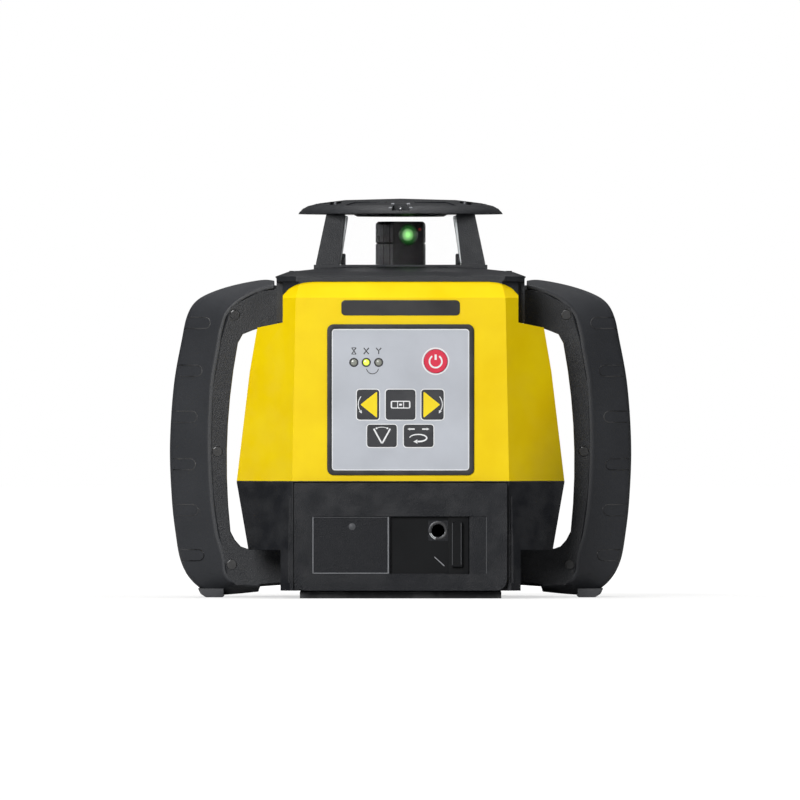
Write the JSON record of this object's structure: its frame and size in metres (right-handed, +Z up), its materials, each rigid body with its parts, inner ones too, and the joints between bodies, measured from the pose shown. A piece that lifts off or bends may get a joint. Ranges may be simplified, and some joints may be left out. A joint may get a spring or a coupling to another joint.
{
  "type": "rotating laser level",
  "caption": "Rotating laser level: tapered two-colour housing with C-shaped side handles, keypad, slide-in battery pack, and a gimballed laser rotor under a hat between four posts.",
  "frame": {"origin": "centre of the tripod thread's mouth, on the plane the level stands on", "axes": "+X to the right when looking at the keypad, -Y out of the keypad towards the user, +Z up along the rotor axis"},
  "size_m": [0.2404, 0.1884, 0.2071],
  "materials": {
    "yellow_shell": "satin moulded, safety yellow",
    "black_shell": "fine spark-eroded texture",
    "grip_rubber": "soft matt overmould",
    "keypad_grey": "matt membrane",
    "key_rubber": "smooth",
    "power_red": "smooth",
    "pane_glass": "clear, flat",
    "light_lens": "clear dome",
    "beam_glass": "coated",
    "optical_glass": "polished",
    "cast_alloy": "die cast",
    "steel": "machined",
    "brass": "turned",
    "rotor_black": "black anodised look",
    "belt_rubber": "smooth",
    "circuit_board": "solder resist",
    "cell_wrap": "shrink wrap"
  },
  "bodies": {
    "housing": {"upper_housing": "yellow_shell", "lower_housing": "black_shell", "top_deck": "black_shell", "battery_bay": "black_shell", "head_frame": "black_shell", "hat": "black_shell", "left_handle": "black_shell", "right_handle": "black_shell", "badge_plate": "black_shell", "keypad_bezel": "black_shell", "left_grip": "grip_rubber", "right_grip": "grip_rubber", "handle_feet": "grip_rubber", "seam_seal": "grip_rubber", "keypad_panel": "keypad_grey", "window_panes": "pane_glass", "indicator_lights": "light_lens", "base_plate": "cast_alloy", "chassis": "cast_alloy", "housing_screws": "steel", "hat_screws": "steel", "handle_screws": "steel", "sight_pins": "steel", "tilt_motor_x": "steel", "tilt_motor_y": "steel", "tripod_bush": "brass", "battery_contacts": "brass", "keypad_board": "circuit_board", "main_board": "circuit_board"},
    "gimbal": {"gimbal_ring": "cast_alloy", "gimbal_pins": "steel"},
    "barrel": {"laser_barrel": "cast_alloy", "laser_diode": "brass", "collimator_lens": "optical_glass", "spindle_bearings": "steel", "tilt_sensor": "rotor_black", "drive_motor": "steel", "motor_bracket": "cast_alloy", "drive_belt": "belt_rubber"},
    "rotor": {"spindle": "steel", "driven_pulley": "brass", "encoder_disc": "rotor_black", "rotor_head": "rotor_black", "rotor_cap": "rotor_black", "penta_prism": "optical_glass", "beam_window": "beam_glass"},
    "drive_pulley": {"motor_pulley": "brass"},
    "fork_x": {"tilt_fork_x": "brass"},
    "fork_y": {"tilt_fork_y": "brass"},
    "battery": {"battery_front": "black_shell", "battery_case": "black_shell", "battery_cells": "cell_wrap", "charge_jack": "steel"},
    "lock": {"lock_slider": "black_shell"},
    "power_button": {"power_key": "power_red"},
    "left_button": {"left_key": "key_rubber"},
    "level_button": {"level_key": "key_rubber"},
    "right_button": {"right_key": "key_rubber"},
    "slope_button": {"slope_key": "key_rubber"},
    "scan_button": {"scan_key": "key_rubber"}
  },
  "joints": [
    {"name": "gimbal_tilt", "type": "hinge", "parent": "housing", "child": "gimbal", "pos_m": [0, 0, 0.146], "axis": [1, 0, 0], "range_deg": [-5, 5]},
    {"name": "barrel_tilt", "type": "hinge", "parent": "gimbal", "child": "barrel", "pos_m": [0, 0, 0.146], "axis": [0, 1, 0], "range_deg": [-5, 5]},
    {"name": "rotor_spin", "type": "hinge", "parent": "barrel", "child": "rotor", "pos_m": [0, 0, 0.15], "axis": [0, 0, 1], "continuous": true},
    {"name": "pulley_spin", "type": "hinge", "parent": "barrel", "child": "drive_pulley", "pos_m": [0, 0.044, 0.15], "axis": [0, 0, 1], "continuous": true},
    {"name": "fork_x_slide", "type": "slide", "parent": "housing", "child": "fork_x", "axis": [1, 0, 0], "range_m": [-0.0055, 0.0055]},
    {"name": "fork_y_slide", "type": "slide", "parent": "housing", "child": "fork_y", "axis": [0, 1, 0], "range_m": [-0.0062, 0.0062]},
    {"name": "battery_slide", "type": "slide", "parent": "housing", "child": "battery", "axis": [0, -1, 0], "range_m": [0, 0.075]},
    {"name": "lock_slide", "type": "slide", "parent": "battery", "child": "lock", "axis": [-1, 0, 0], "range_m": [0, 0.018]},
    {"name": "power_press", "type": "slide", "parent": "housing", "child": "power_button", "axis": [0, 1, 0], "range_m": [0, 0.0008], "stiffness_N_per_m": 2500},
    {"name": "left_press", "type": "slide", "parent": "housing", "child": "left_button", "axis": [0, 1, 0], "range_m": [0, 0.0008], "stiffness_N_per_m": 2500},
    {"name": "level_press", "type": "slide", "parent": "housing", "child": "level_button", "axis": [0, 1, 0], "range_m": [0, 0.0008], "stiffness_N_per_m": 2500},
    {"name": "right_press", "type": "slide", "parent": "housing", "child": "right_button", "axis": [0, 1, 0], "range_m": [0, 0.0008], "stiffness_N_per_m": 2500},
    {"name": "slope_press", "type": "slide", "parent": "housing", "child": "slope_button", "axis": [0, 1, 0], "range_m": [0, 0.0008], "stiffness_N_per_m": 2500},
    {"name": "scan_press", "type": "slide", "parent": "housing", "child": "scan_button", "axis": [0, 1, 0], "range_m": [0, 0.0008], "stiffness_N_per_m": 2500}
  ],
  "couplings": [
    {"joint": "pulley_spin", "follows": "rotor_spin", "ratio": 2.5},
    {"joint": "fork_x_slide", "follows": "barrel_tilt", "m_per_rad": -0.06},
    {"joint": "fork_y_slide", "follows": "gimbal_tilt", "m_per_rad": 0.068}
  ]
}
